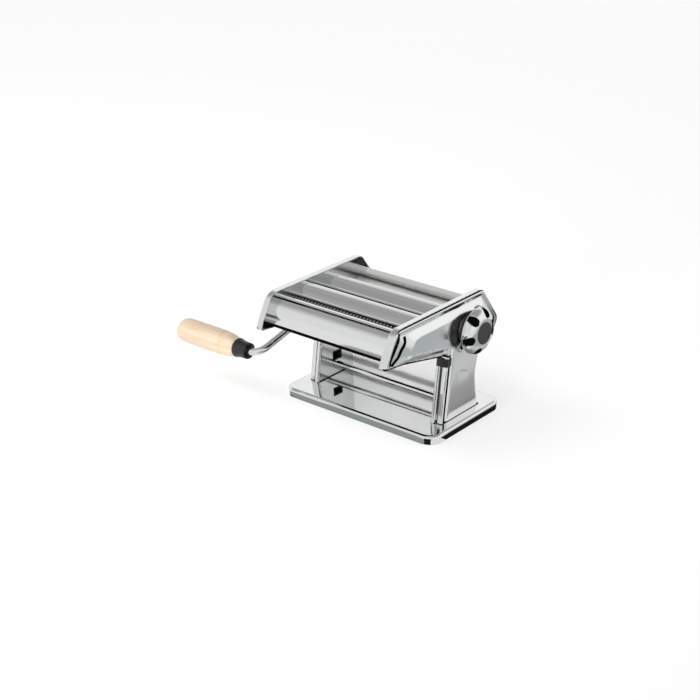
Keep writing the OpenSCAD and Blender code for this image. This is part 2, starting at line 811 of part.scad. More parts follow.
module crank() {
    turn = 90 - splay;
    reach = bend_r * tan(turn / 2);
    sunk = 0.8;
    tip_x = gear_end_x - socket_depth - tang_depth + 2 * air;
    flat_x = -gear_end_x + socket_depth - 2 * air;
    inner = [inner_bend_x - reach, bend_r];
    outer = [outer_bend_x + reach, arm_len - bend_r];
    side = bend_r * [cos(turn - 90), sin(turn - 90)];
    color("silver") difference() {
        crank_frame() union() {
            straight([tip_x, 0], [inner[0], 0], 0, sunk);
            bend(inner, -90, turn);
            straight(inner + side, outer - side, sunk, sunk);
            bend(outer, 90, turn);
            straight([outer[0], arm_len], [spindle_end_x, arm_len], sunk, 0);
        }
        translate([0, drive_axis[0], drive_axis[1]]) for (s = [-1, 1])
            box_x(flat_x, 0, s > 0 ? tang_t / 2 : -far, s > 0 ? far : -tang_t / 2, -far, far);
    }
}

grip_axis = drive_axis - arm_len * [cos(arm_angle), sin(arm_angle)];

module grip() {
    neck = 8.5;
    round_in = 9;
    color("burlywood") difference() {
        mirror([1, 0, 0]) turned(concat([[0, grip_x], [neck, grip_x], [neck, grip_x + 3],
            [neck + 2.5, grip_x + 6.5], [grip_r - 0.7, grip_x + 12], [grip_r, grip_x + 24],
            [grip_r, grip_end_x - 14]],
            [for (i = [1:6]) let (a = 90 * i / 6) [grip_r - round_in * (1 - cos(a)),
                grip_end_x - 14 + 14 * sin(a)]],
            [[0, grip_end_x]]), grip_axis);
        bar_x(-spindle_end_x - 1, 0, rod_r + 0.08, grip_axis);
    }
}

module grip_ferrule() {
    color("#2b2b2d") difference() {
        mirror([1, 0, 0]) turned([[0, ferrule_x], [6.5, ferrule_x], [8, ferrule_x + 5],
            [9.2, ferrule_x + 12], [10.6, ferrule_x + 14.5], [10.6, ferrule_x + 16.2],
            [9, ferrule_x + ferrule_w], [0, ferrule_x + ferrule_w]], grip_axis);
        bar_x(-far, 0, rod_r + 0.08, grip_axis);
    }
}

base_cover();
base_pan();
rubber_feet();
foot_blocks();
base_screws();
left_side_shell();
right_side_shell();
left_inner_plate();
right_inner_plate();
tie_rod();
tie_rod_nuts();
head_spacers();
spacer_nuts();
slide_plate();
clamp_socket();
rear_cover();
rear_arch_cover();
front_arch_cover();
guard_bar();
front_cover();
roller_scrapers();
wide_combs();
narrow_combs();
roller_bushes();
cutter_bushes();
shaft_bushes();
index_plate();
index_screws();
drive_roller();
drive_gear();
crank();
grip();
grip_ferrule();
bearing_blocks();
cam_followers();
adjustable_roller();
adjustable_gear();
adjusting_shaft();
adjusting_cams();
knob_barrel();
knob_shell();
knob_cap();
knob_spring();
spring_washer();
wide_rear_cutter();
wide_rear_gear();
wide_front_cutter();
wide_front_gear();
narrow_rear_cutter();
narrow_rear_gear();
narrow_front_cutter();
narrow_front_gear();
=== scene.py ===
"""Pasta roller machine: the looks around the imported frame.

The object's sizes and the cards are in millimetres, in the frame of the CAD. The floor, the lights
and the camera are in metres.
"""
import json
import math

import bmesh
import bpy
import numpy as np
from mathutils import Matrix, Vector
from mathutils.geometry import delaunay_2d_cdt


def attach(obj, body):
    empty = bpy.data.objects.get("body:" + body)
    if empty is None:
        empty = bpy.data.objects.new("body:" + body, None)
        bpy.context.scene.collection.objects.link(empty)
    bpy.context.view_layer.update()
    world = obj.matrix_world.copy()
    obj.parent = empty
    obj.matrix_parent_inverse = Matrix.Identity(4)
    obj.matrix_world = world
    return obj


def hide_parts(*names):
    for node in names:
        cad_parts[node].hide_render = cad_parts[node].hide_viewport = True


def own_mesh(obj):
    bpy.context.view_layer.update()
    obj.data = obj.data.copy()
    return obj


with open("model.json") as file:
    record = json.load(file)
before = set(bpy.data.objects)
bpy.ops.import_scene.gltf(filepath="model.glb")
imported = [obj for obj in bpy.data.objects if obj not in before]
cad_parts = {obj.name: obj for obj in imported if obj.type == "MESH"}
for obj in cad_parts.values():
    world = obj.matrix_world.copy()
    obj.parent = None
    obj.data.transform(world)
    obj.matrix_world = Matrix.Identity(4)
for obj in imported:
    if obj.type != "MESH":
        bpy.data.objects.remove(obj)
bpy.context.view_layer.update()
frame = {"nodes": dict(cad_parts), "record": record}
scene = bpy.context.scene
MM = 0.001

# ---- Sizes shared with the frame, in millimetres ----
AXIS_H = 103.5
TILT = math.atan(0.1)
IN_X, BORDER_X, PANEL_X = 76.0, 84.0, 88.0
BASE_LEN, BASE_DEPTH, BASE_H, BASE_R = 200.4, 125.4, 10.7, 15.0
SHEET = 0.8


def along_row(s):
    """Point (y, z) on the sloping row of axes, s in front of the knob's axis when negative."""
    return np.array([12.2 + s * math.cos(TILT), AXIS_H - s * math.sin(TILT)])


KNOB = along_row(0)
DRIVE = along_row(27.2)
WIDE_REAR, WIDE_FRONT = along_row(-28.3), along_row(-51.5)
NARROW_REAR = along_row(-76.1)
ARM = 136.9
ARM_ANGLE = math.radians(19.9)
GRIP = DRIVE - ARM * np.array([math.cos(ARM_ANGLE), math.sin(ARM_ANGLE)])


# ---- Outlines in (y, z) ----
def arc(c, r, a0, a1, n):
    """Points on a circle from angle a0 to a1, in degrees."""
    t = np.radians(np.linspace(a0, a1, n + 1))
    return np.stack([c[0] + r * np.cos(t), c[1] + r * np.sin(t)], 1)


def rounded(corners, step=6):
    """Closed outline through [y, z, radius] corners."""
    out = []
    n = len(corners)
    for i, (y, z, r) in enumerate(corners):
        q = np.array([y, z], float)
        p = np.array(corners[i - 1][:2], float)
        s = np.array(corners[(i + 1) % n][:2], float)
        if r == 0:
            out.append(q)
            continue
        u = (p - q) / np.linalg.norm(p - q)
        v = (s - q) / np.linalg.norm(s - q)
        half = math.acos(float(np.clip(u @ v, -1, 1))) / 2
        mid = (u + v) / np.linalg.norm(u + v)
        centre = q + mid * r / math.sin(half)
        a = q + u * r / math.tan(half) - centre
        turn = (1 if u[0] * v[1] - u[1] * v[0] < 0 else -1) * (math.pi - 2 * half)
        a0 = math.atan2(a[1], a[0])
        k = max(2, int(math.degrees(abs(turn)) / step) + 1)
        for j in range(k + 1):
            t = a0 + turn * j / k
            out.append(centre + r * np.array([math.cos(t), math.sin(t)]))
    return np.array(out)


def resample(line, step, closed=True):
    """Line with more points, no further apart than step."""
    pts = np.vstack([line, line[:1]]) if closed else np.asarray(line)
    out = []
    for a, b in zip(pts[:-1], pts[1:]):
        n = max(1, int(math.ceil(np.linalg.norm(b - a) / step)))
        out += [a + (b - a) * i / n for i in range(n)]
    if not closed:
        out.append(pts[-1])
    return np.array(out)


def signed(points, poly):
    """Distance to a closed outline, positive inside."""
    a = poly
    b = np.roll(poly, -1, 0)
    p = points[:, None, :]
    ab = b - a
    t = np.clip(((p - a) * ab).sum(-1) / np.maximum((ab * ab).sum(-1), 1e-9), 0, 1)
    d = np.linalg.norm(p - (a + t[..., None] * ab), axis=-1).min(1)
    y, z = points[:, 0][:, None], points[:, 1][:, None]
    rise = np.where(b[:, 1] == a[:, 1], 1e-9, b[:, 1] - a[:, 1])
    crosses = ((a[:, 1] > z) != (b[:, 1] > z)) & (y < (b[:, 0] - a[:, 0]) * (z - a[:, 1]) / rise + a[:, 0])
    inside = crosses.sum(1) % 2 == 1
    return np.where(inside, d, -d)


def offset_ring(poly, d, step):
    """Outline moved inward by d, or outward if negative, kept where it stays that far from the outline."""
    line = resample(poly, step)
    before, after = np.roll(line, 1, 0), np.roll(line, -1, 0)
    tangent = after - before
    tangent /= np.maximum(np.linalg.norm(tangent, axis=1), 1e-9)[:, None]
    area = 0.5 * np.sum(line[:, 0] * np.roll(line[:, 1], -1) - np.roll(line[:, 0], -1) * line[:, 1])
    side = np.stack([-tangent[:, 1], tangent[:, 0]], 1) * (1 if area > 0 else -1)
    moved = line + side * d
    return moved[math.copysign(1, d) * signed(moved, poly) > abs(d) * 0.93]


# ---- Mesh helpers ----
def new_mesh(name, verts, faces):
    """Mesh in metres from points in millimetres, with double points merged and faces turned outward."""
    mesh = bpy.data.meshes.new(name)
    mesh.from_pydata([tuple(float(c) * MM for c in v) for v in verts], [], [tuple(f) for f in faces])
    bm = bmesh.new()
    bm.from_mesh(mesh)
    bmesh.ops.remove_doubles(bm, verts=bm.verts, dist=1e-6)
    bmesh.ops.recalc_face_normals(bm, faces=bm.faces)
    bm.to_mesh(mesh)
    bm.free()
    return mesh


def piece(name, mesh, body, material, replaces=(), angle=35):
    """Visible piece on a body of the frame, sharp where faces meet at more than angle."""
    obj = bpy.data.objects.new(name, mesh)
    scene.collection.objects.link(obj)
    mesh.shade_smooth()
    mesh.set_sharp_from_angle(angle=math.radians(angle))
    if not mesh.materials:
        mesh.materials.append(material)
    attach(obj, body)
    if replaces:
        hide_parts(*replaces)
    return obj


def bake_modifiers(obj):
    """Applies the modifiers of an object to its mesh."""
    deps = bpy.context.evaluated_depsgraph_get()
    mesh = bpy.data.meshes.new_from_object(obj.evaluated_get(deps))
    obj.modifiers.clear()
    obj.data = mesh


def loft(rings, cap_start=True):
    """Verts and faces through closed rings with the same number of points."""
    n = len(rings[0])
    verts = [p for r in rings for p in r]
    faces = []
    for k in range(len(rings) - 1):
        for i in range(n):
            j = (i + 1) % n
            faces.append((k * n + i, k * n + j, (k + 1) * n + j, (k + 1) * n + i))
    if cap_start:
        faces.append(tuple(range(n - 1, -1, -1)))
    faces.append(tuple((len(rings) - 1) * n + i for i in range(n)))
    return verts, faces


def lathe(name, profile, axis, n=96, wobble=None, sign=1):
    """Body of revolution about an axis along X through (x, radius) points; wobble moves them by (dx, dr)."""
    verts, faces, rows = [], [], []
    for x, r in profile:
        if r <= 1e-6:
            rows.append([len(verts)])
            verts.append((sign * x, axis[0], axis[1]))
            continue
        row = []
        for i in range(n):
            a = 2 * math.pi * i / n
            dx, dr = wobble(x, r, a) if wobble else (0, 0)
            row.append(len(verts))
            out = r + dr
            verts.append((sign * (x + dx), axis[0] + out * math.cos(a), axis[1] + out * math.sin(a)))
        rows.append(row)
    for a, b in zip(rows[:-1], rows[1:]):
        for i in range(n):
            j = (i + 1) % n
            quad = [a[i % len(a)], a[j % len(a)], b[j % len(b)], b[i % len(b)]]
            face = [v for k, v in enumerate(quad) if v not in quad[:k]]
            if len(face) > 2:
                faces.append(face)
    return new_mesh(name, verts, faces)


def smooth_profile(points, radius, n=6):
    """Open line with each inner corner rounded."""
    pts = [np.array(p, float) for p in points]
    out = [pts[0]]
    for p, q, s in zip(pts[:-2], pts[1:-1], pts[2:]):
        u, v = p - q, s - q
        lu, lv = np.linalg.norm(u), np.linalg.norm(v)
        u, v = u / lu, v / lv
        half = math.acos(float(np.clip(u @ v, -1, 1))) / 2
        if half > math.radians(89):
            out.append(q)
            continue
        cut = min(radius / math.tan(half), 0.45 * lu, 0.45 * lv)
        a, b = q + u * cut, q + v * cut
        out += [(1 - t) ** 2 * a + 2 * t * (1 - t) * q + t * t * b for t in np.linspace(0, 1, n + 1)]
    out.append(pts[-1])
    return np.array(out)


def bent_sheet(name, line, t):
    """Bent sheet between the plates: an open (y, z) line thickened to its right-hand side, round-edged."""
    line = np.asarray(line, float)
    d = np.diff(line, axis=0)
    d /= np.linalg.norm(d, axis=1)[:, None]
    side = []
    for i in range(len(line)):
        a, b = d[max(i - 1, 0)], d[min(i, len(d) - 1)]
        na, nb = np.array([a[1], -a[0]]), np.array([b[1], -b[0]])
        side.append((na + nb) / (1 + float(na @ nb)))
    side = np.array(side)
    under = line + side * t
    first = [(line[0] + under[0]) / 2 - d[0] * t * 0.35]
    last = [(line[-1] + under[-1]) / 2 + d[-1] * t * 0.35]
    outline = np.vstack([line, last, under[::-1], first])
    rings = [[(x, p[0], p[1]) for p in outline] for x in np.linspace(-IN_X, IN_X, 25)]
    return new_mesh(name, *loft(rings))


# ---- Materials ----
def material(name, colour, metallic, roughness):
    """Plain material in one colour, to build on."""
    m = bpy.data.materials.new(name)
    m.use_nodes = True
    shader = m.node_tree.nodes["Principled BSDF"]
    shader.inputs["Base Color"].default_value = (*colour, 1)
    shader.inputs["Metallic"].default_value = metallic
    shader.inputs["Roughness"].default_value = roughness
    return m


def node(m, kind, **values):
    """New node in the tree of a material or world, with its inputs or properties set."""
    n = m.node_tree.nodes.new(kind)
    for key, value in values.items():
        if key in n.inputs:
            n.inputs[key].default_value = value
        else:
            setattr(n, key, value)
    return n


def link(m, a, out, b, inp):
    m.node_tree.links.new(a.outputs[out], b.inputs[inp])


def object_space(m, scale):
    """Object coordinates stretched by scale, so that patterns ride with their piece."""
    coords = node(m, "ShaderNodeTexCoord")
    mapping = node(m, "ShaderNodeMapping")
    mapping.inputs["Scale"].default_value = scale
    link(m, coords, "Object", mapping, "Vector")
    return mapping


def noise(m, mapping, scale, detail, rough):
    n = node(m, "ShaderNodeTexNoise", Scale=scale, Detail=detail, Roughness=rough)
    link(m, mapping, "Vector", n, "Vector")
    return n


def ramp(m, source, out, low, high, a, b):
    """Value from low to high mapped to a to b."""
    n = node(m, "ShaderNodeMapRange")
    n.inputs["From Min"].default_value = low
    n.inputs["From Max"].default_value = high
    n.inputs["To Min"].default_value = a
    n.inputs["To Max"].default_value = b
    link(m, source, out, n, "Value")
    return n


def colours(m, source, out, stops):
    """Colour ramp through (position, colour) stops."""
    n = node(m, "ShaderNodeValToRGB")
    while len(n.color_ramp.elements) < len(stops):
        n.color_ramp.elements.new(0.5)
    for e, (pos, c) in zip(n.color_ramp.elements, stops):
        e.position = pos
        e.color = (*c, 1)
    link(m, source, out, n, "Fac")
    return n


def shader_of(m):
    return m.node_tree.nodes["Principled BSDF"]


def bump(m, source, out, strength, distance):
    n = node(m, "ShaderNodeBump", Strength=strength, Distance=distance)
    link(m, source, out, n, "Height")
    link(m, n, "Normal", shader_of(m), "Normal")


def metal(name, colour, roughness, spread, scale, streak=(1, 1, 1), fine=0.02):
    """Metal with soft changes of roughness and a faint surface waviness."""
    m = material(name, colour, 1.0, roughness)
    space = object_space(m, streak)
    wear = noise(m, space, scale, 5.0, 0.6)
    rough = ramp(m, wear, "Fac", 0.35, 0.7, roughness, roughness + spread)
    link(m, rough, "Result", shader_of(m), "Roughness")
    tone = colours(m, wear, "Fac", [(0.3, tuple(c * 0.94 for c in colour)), (0.7, colour)])
    link(m, tone, "Color", shader_of(m), "Base Color")
    grain = noise(m, space, scale * 9, 2.0, 0.5)
    bump(m, grain, "Fac", fine, 0.0004)
    return m


chrome = metal("chrome", (0.83, 0.835, 0.84), 0.035, 0.05, 30)
chrome_cover = metal("chrome_cover", (0.83, 0.835, 0.84), 0.07, 0.07, 22, (0.35, 1, 1))
plated = metal("plated_steel", (0.72, 0.72, 0.73), 0.16, 0.12, 60, (1, 0.2, 0.2), 0.06)
gear_steel = metal("gear_steel", (0.56, 0.56, 0.57), 0.3, 0.15, 80, (1, 1, 1), 0.1)
cover_satin = metal("cover_satin", (0.88, 0.885, 0.89), 0.17, 0.06, 22, (0.35, 1, 1))
# The rear cover's chrome is darker than the rest: painted shade for the darker reflections it shows, over a
# brushed texture
brushed_shaded_cover = metal("brushed_shaded_cover", (0.62, 0.62, 0.605), 0.26, 0.08, 260, (1, 0.04, 0.3), 0.1)
plate_soft = metal("plate_soft", (0.74, 0.76, 0.75), 0.13, 0.05, 24, (1, 1, 1), 0.01)
satin_roller = metal("satin_roller", (0.88, 0.88, 0.87), 0.42, 0.08, 60, (1, 0.3, 0.3), 0.02)
shader_of(satin_roller).inputs["Metallic"].default_value = 0.3
slide_satin = metal("slide_satin", (0.9, 0.9, 0.9), 0.36, 0.05, 30, (0.4, 1, 1), 0.02)
shader_of(slide_satin).inputs["Metallic"].default_value = 0.1
zinc = metal("zinc_steel", (0.5, 0.51, 0.53), 0.28, 0.2, 120, (1, 1, 1), 0.08)
bronze = metal("bronze", (0.62, 0.43, 0.21), 0.27, 0.18, 90, (2, 1, 1), 0.08)


def plastic(name, colour, roughness, scale, fine):
    """Plastic or rubber with soft mottling and a fine grain."""
    m = material(name, colour, 0.0, roughness)
    space = object_space(m, (1, 1, 1))
    mottle = noise(m, space, scale * 0.15, 4.0, 0.6)
    dark, light = tuple(c * 0.86 for c in colour), tuple(min(1, c * 1.06) for c in colour)
    tone = colours(m, mottle, "Fac", [(0.3, dark), (0.7, light)])
    link(m, tone, "Color", shader_of(m), "Base Color")
    rough = ramp(m, mottle, "Fac", 0.3, 0.7, roughness * 0.85, roughness * 1.25)
    link(m, rough, "Result", shader_of(m), "Roughness")
    grain = noise(m, space, scale * 4, 2.0, 0.5)
    bump(m, grain, "Fac", fine, 0.0002)
    return m


black_plastic = plastic("black_plastic", (0.012, 0.012, 0.013), 0.22, 300, 0.1)
grey_plastic = plastic("grey_plastic", (0.028, 0.027, 0.028), 0.5, 500, 0.3)
comb_plastic = plastic("comb_plastic", (0.76, 0.76, 0.74), 0.45, 300, 0.1)
# Black standing for shade and dark reflections: painted shade in the shells' gaps, under the front cover and
# in the knob's dents, painted dark reflection along the shells' rim edges
painted_shade_black = plastic("painted_shade_black", (0.003, 0.003, 0.003), 0.6, 300, 0.1)
shader_of(painted_shade_black).inputs["Specular IOR Level"].default_value = 0.0
rubber = plastic("foot_rubber", (0.018, 0.018, 0.018), 0.75, 500, 0.4)


def make_wood():
    """Pale turned beech: long grain along X with short darker flecks."""
    m = material("grip_wood", (0.8, 0.6, 0.4), 0.0, 0.42)
    space = object_space(m, (0.09, 1, 1))
    rings = noise(m, space, 160, 5.0, 0.62)
    rings.inputs["Distortion"].default_value = 0.6
    tone = colours(m, rings, "Fac", [(0.28, (0.58, 0.43, 0.29)), (0.45, (0.68, 0.53, 0.38)),
                                     (0.62, (0.73, 0.59, 0.44)), (0.8, (0.69, 0.54, 0.39))])
    flecks_space = object_space(m, (0.22, 1, 1))
    flecks = node(m, "ShaderNodeTexVoronoi", Scale=420.0)
    link(m, flecks_space, "Vector", flecks, "Vector")
    mask = ramp(m, flecks, "Distance", 0.05, 0.22, 0.2, 0.0)
    mix = node(m, "ShaderNodeMix", data_type="RGBA")
    link(m, mask, "Result", mix, "Factor")
    link(m, tone, "Color", mix, "A")
    mix.inputs["B"].default_value = (0.52, 0.33, 0.17, 1)
    link(m, mix, "Result", shader_of(m), "Base Color")
    rough = ramp(m, rings, "Fac", 0.3, 0.7, 0.5, 0.34)
    link(m, rough, "Result", shader_of(m), "Roughness")
    bump(m, rings, "Fac", 0.12, 0.0004)
    shader_of(m).inputs["Coat Weight"].default_value = 0.15
    shader_of(m).inputs["Coat Roughness"].default_value = 0.25
    return m


wood = make_wood()

# ---- Base ----
CORNER_STEPS = 14


def base_outline(cut):
    """Rounded rectangle of the base moved inward by cut."""
    hx, hy, r = BASE_LEN / 2 - cut, BASE_DEPTH / 2 - cut, BASE_R - cut
    out = []
    for sx, sy, a0 in ((1, 1, 0), (-1, 1, 90), (-1, -1, 180), (1, -1, 270)):
        c = (sx * (hx - r), sy * (hy - r))
        out += list(arc(c, r, a0, a0 + 90, CORNER_STEPS))
    return np.array(out)


def make_base():
    """Pressed tray with a rounded upper edge, turned in at its foot."""
    rings = []
    round_r = 3.6
    levels = [(1.6, 2.2), (0.5, 1.0), (0.0, 1.4), (0.0, BASE_H - round_r)]
    levels += [(round_r * (1 - math.cos(a)), BASE_H - round_r * (1 - math.sin(a)))
               for a in np.radians(np.linspace(10, 90, 9))]
    for cut, z in levels:
        rings.append([(p[0], p[1], z) for p in base_outline(cut)])
    verts, faces = loft(rings, cap_start=False)
    return new_mesh("base_cover_skin", verts, faces)


piece("base_cover_skin", make_base(), "frame", chrome, ("base_cover",))

# ---- Side shells ----
def lift(points):
    """Points given around the height of the axes, in the frame's own height."""
    return [[p[0], p[1] + AXIS_H, *p[2:]] for p in points]


HEAD = rounded(lift([[-121.5, -3.2, 2.8], [-92, -6.3, 40], [-40, -17.2, 40], [-18, -21.8, 0],
                     [-15, -33, 0], [33, -35.5, 0], [60.5, -24.5, 14], [73.2, -7.5, 9], [42.7, 32.9, 10],
                     [-103.8, 32.9, 16], [-117.2, 7.5, 30]]))
BORDER = rounded(lift([[-112.5, 0.5, 3], [-95, -3.6, 0], [-15, -15.8, 0], [33, -27, 4], [56, -18, 6],
                       [65, -7, 5], [38, 25.4, 5], [-99.5, 25.4, 5], [-109, 9, 6]]))
PANEL = rounded(lift([[-84.5, 1, 2], [-15, -12, 0], [33, -22, 3], [47, -13, 4], [54, -5, 4],
                      [36, 18.4, 4], [-69.3, 18.4, 5], [-77.4, 16.9, 4], [-83, 7, 6]]))
COLUMN = rounded([[-32.04, BASE_H - 6, 0], [36.02, BASE_H - 6, 0], [28.3, AXIS_H - 53.5, 40],
                  [33.5, AXIS_H - 35, 6], [44, AXIS_H - 29, 0], [40, AXIS_H - 4, 0],
                  [-17, AXIS_H - 4, 0], [-22.4, AXIS_H - 20.5, 0]])


def ribbon(line, half):
    """Closed outline of a band of half-width half along a line."""
    line = resample(np.array(line), 1.5, closed=False)
    run = np.gradient(line, axis=0)
    across = np.stack([-run[:, 1], run[:, 0]], 1) / np.linalg.norm(run, axis=1)[:, None] * half
    return np.vstack([line + across, (line - across)[::-1]])


FRONT_GAPS = [
    ribbon([[-99.6, 133.5], [-99.7, 129.7], [-100.4, 126.8], [-101.7, 124.2], [-103.4, 121.6],
            [-105.8, 118.3], [-108.1, 114.9], [-110.7, 111.6], [-112.7, 108.1], [-113.4, 103.5]], 1.7),
    ribbon([[-91.7, 128.2], [-91.5, 124.2], [-92.2, 121.2], [-94.5, 118.9], [-97.6, 115.8],
            [-100.1, 112.4], [-102.5, 109], [-106.9, 106.3], [-111, 103.2]], 2.1)]
RIM_R, COLUMN_R, SHELL_T = 2.4, 4.5, 1.1
# The fold inside the head's rim, and the two gaps at its front
FOLD_W, FOLD_DEEP, GAP_DEEP = 3.4, 0.7, 0.8
# Below this height a shell is column, above it head
HEAD_FOOT = 80
# How far past its outline a surface still has a height, and its height beyond that
OVERHANG, NOWHERE = 0.6, -1e3
# Upper line of the leaf-shaped press mark
LEAF = np.array([[-7.7, 59.3], [-2.5, 60.9], [2.8, 60.7], [8.5, 58.8], [13.7, 56.2]])


def quarter(d, r, top):
    """Height of an edge rounded with radius r, at distance d from it."""
    return top - r + np.sqrt(np.maximum(r * r - np.maximum(r - d, 0) ** 2, 0))


def front_line(z):
    """Where the column's front edge stands at height z."""
    return -31.3 + (z - BASE_H) * 8.9 / 72.3


def below_border(y, z):
    """Whether points lie on the lower side of the head's border."""
    return z < AXIS_H + 2 - 0.168 * (y + 112.5)


def front_profile(d):
    """Height of the column's face behind its front edge: small rounding, gap, then the face's edge."""
    step = np.clip((d - 1.7) / 0.5, 0, 1)
    shoulder = quarter(np.maximum(d - 6.2, 0), 4.0, PANEL_X)
    return np.where(d < 6.2, quarter(np.maximum(d, 0), 1.4, PANEL_X) - 1.1 * step, shoulder)


def head_height(points, head):
    """Height of the head's side: rounded rim, fold, then the slope from border to panel."""
    border, panel = signed(points, BORDER), signed(points, PANEL)
    low = quarter(np.maximum(head, 0), RIM_R, BORDER_X)
    fold = np.clip(-border / FOLD_W, 0, 1)
    deep = FOLD_DEEP * np.interp(points[:, 0], [-112, -96], [1.0, 0.5])
    deep = np.where(below_border(points[:, 0], points[:, 1]), 0, deep)
    low = low - deep * 0.5 * (1 - np.cos(2 * np.pi * fold)) * (head > RIM_R * 0.5)
    inner, outer = np.maximum(border, 0), np.maximum(-panel, 0)
    high = low + (PANEL_X - BORDER_X) * np.clip(inner / (inner + outer + 1e-6), 0, 1)
    for gap in FRONT_GAPS:
        high = high - GAP_DEEP * np.clip(signed(points, gap) / 0.5, 0, 1)
    return high


def leaf_depth(points):
    """Depth of the leaf-shaped press mark, steep at its upper line and fading below."""
    along = (points[:, 0] - LEAF[0, 0]) / (LEAF[-1, 0] - LEAF[0, 0])
    below = np.interp(points[:, 0], LEAF[:, 0], LEAF[:, 1]) - points[:, 1]
    fade = np.clip(np.sin(np.pi * np.clip(along, 0, 1)), 0, 1)
    fall = np.exp(-np.maximum(below - 0.9, 0) / 4.5)
    return 0.85 * fade * np.where(below > 0, np.clip(below / 0.9, 0, 1) * fall, 0)


def shell_height(points):
    """Height of a shell's outside over (y, z) points, head and column blended where they meet."""
    head, col = signed(points, HEAD), signed(points, COLUMN)
    behind = points[:, 0] - front_line(points[:, 1])
    face = np.where(points[:, 0] < 0, front_profile(behind),
                    quarter(np.maximum(col, 0), COLUMN_R, PANEL_X))
    a = np.where(head < -OVERHANG, NOWHERE, head_height(points, head))
    b = np.where(col < -OVERHANG, NOWHERE, face)
    high, other = np.maximum(a, b), np.minimum(a, b)
    k = np.clip(PANEL_X - other, 0, 1.6)
    blend = np.clip(k - (high - other), 0, None)
    high = np.minimum(high + blend ** 2 / np.maximum(4 * k, 1e-6), PANEL_X)
    return np.maximum(high - leaf_depth(points), IN_X)


def shell_lines(holes):
    """Lines that a shell's mesh follows, as (points, closed)."""
    lines = [(resample(HEAD, 1.6), True), (resample(BORDER, 2.0), True)]
    lines += [(offset_ring(HEAD, d, 1.8), False) for d in (0.25, 0.7, 1.2, 1.9, 3.2)]
    lines.append((resample(COLUMN, 1.6), True))
    for d in (0.25, 0.7, 1.4, 2.3, 3.3, 4.5, 6):
        ring = offset_ring(COLUMN, d, 1.6)
        lines.append((ring[ring[:, 0] > 0], False))
    heights = np.arange(BASE_H - 4, 92, 1.6)
    for d in (0.2, 0.5, 0.9, 1.4, 1.75, 2.2, 4.2, 6.1, 6.3, 6.6, 7.1, 8, 9.2, 10.4):
        lines.append((np.stack([front_line(heights) + d, heights], 1), False))
    lines.append((np.stack([np.arange(-34, 38, 1.2), np.full(60, BASE_H)], 1), False))
    lines += [(offset_ring(BORDER, d, 1.8), False) for d in (0.7, -0.7, -1.4, -2.1, -2.8)]
    lines += [(offset_ring(PANEL, d, 1.8), False) for d in (0.7, -0.7)]
    for dz in (0.4, 0.0, -0.45, -0.9, -1.5, -3, -5, -8, -12):
        lines.append((resample(LEAF + np.array([0, dz]), 1.0, closed=False), False))
    for gap in FRONT_GAPS:
        lines += [(gap, True), (offset_ring(gap, 0.5, 1.2), False)]
    return lines + [(arc(c, r, 0, 360, 40)[:-1], True) for c, r in holes]


def grid_points(ys, zs):
    """Every (y, z) point of a grid."""
    return np.stack([p.ravel() for p in np.meshgrid(ys, zs)], 1)


def fill_points():
    """Points between the lines: a wide grid, and a fine one where head and column meet."""
    grid = grid_points(np.arange(-120, 74, 3.0), np.arange(BASE_H + 2, AXIS_H + 33, 3.0))
    behind_front = grid[:, 0] > front_line(grid[:, 1]) + 11
    grid = grid[(signed(grid, HEAD) > 3.8) | ((signed(grid, COLUMN) > 6.5) & behind_front)]
    near = grid_points(np.arange(-26, -8, 0.9), np.arange(80, 100, 0.9))
    near = near[(signed(near, HEAD) > 1) | (signed(near, COLUMN) > 1)]
    return np.vstack([grid, near])


def column_front(y, z):
    """Whether a rim point lies on the column's front edge, below the head."""
    return z < HEAD_FOOT and y < -20


def shell_mesh(name, side, holes):
    """Side shell: the outside as a height over its outline, and the rim folded back to the plate."""
    points, edges = [], []
    for line, closed in shell_lines(holes):
        first = len(points)
        points += [Vector((float(p[0]), float(p[1]))) for p in line]
        if closed:
            n = len(line)
            edges += [(first + i, first + (i + 1) % n) for i in range(n)]
    points += [Vector((float(p[0]), float(p[1]))) for p in fill_points()]
    out_v, _, out_f, _, _, _ = delaunay_2d_cdt(points, edges, [], 0, 0.05)
    flat = np.array([[v.x, v.y] for v in out_v])
    tri = np.array([list(f) for f in out_f])
    middle = flat[tri].mean(1)
    inside = ((signed(middle, HEAD) > 0) | (signed(middle, COLUMN) > 0)) & (middle[:, 1] > BASE_H)
    for c, r in holes:
        inside &= np.linalg.norm(middle - c, axis=1) > r
    tri = tri[inside]
    height = shell_height(flat)
    verts = [[side * h, p[0], p[1]] for h, p in zip(height, flat)]
    faces = [list(f) for f in tri]
    directed = dict.fromkeys((f[k], f[(k + 1) % 3]) for f in tri for k in range(3))
    rim = [(a, b) for a, b in directed if (b, a) not in directed]
    rim = [(a, b) for a, b in rim if all(np.linalg.norm(flat[a] - c) > r + 0.5 for c, r in holes)]
    front_x = [0.3, 0.7, 1.4, 2.6, 4.0, 5.4, 6.0, 6.1, 6.2, 7.8, 7.9, 8.0, 9.5]
    levels = len(front_x) + 1
    groove_x0, groove_x1, groove_deep = 80.05, 81.85, 3.0
    strip = {}
    for v in {a for e in rim for a in e}:
        y, z = flat[v]
        on_front = column_front(y, z)
        chain = [v]
        for k in range(1, levels + 1):
            x = height[v] + (IN_X - height[v]) * k / levels
            if on_front and k < levels:
                x = min(height[v], PANEL_X) - front_x[k - 1]
            push = groove_deep if on_front and groove_x0 < x < groove_x1 else 0.0
            chain.append(len(verts))
            verts.append([side * x, y + push, z])
        strip[v] = chain
    for a, b in rim:
        for k in range(levels):
            faces.append([strip[a][k], strip[a][k + 1], strip[b][k + 1], strip[b][k]])
    return new_mesh(name, verts, faces)


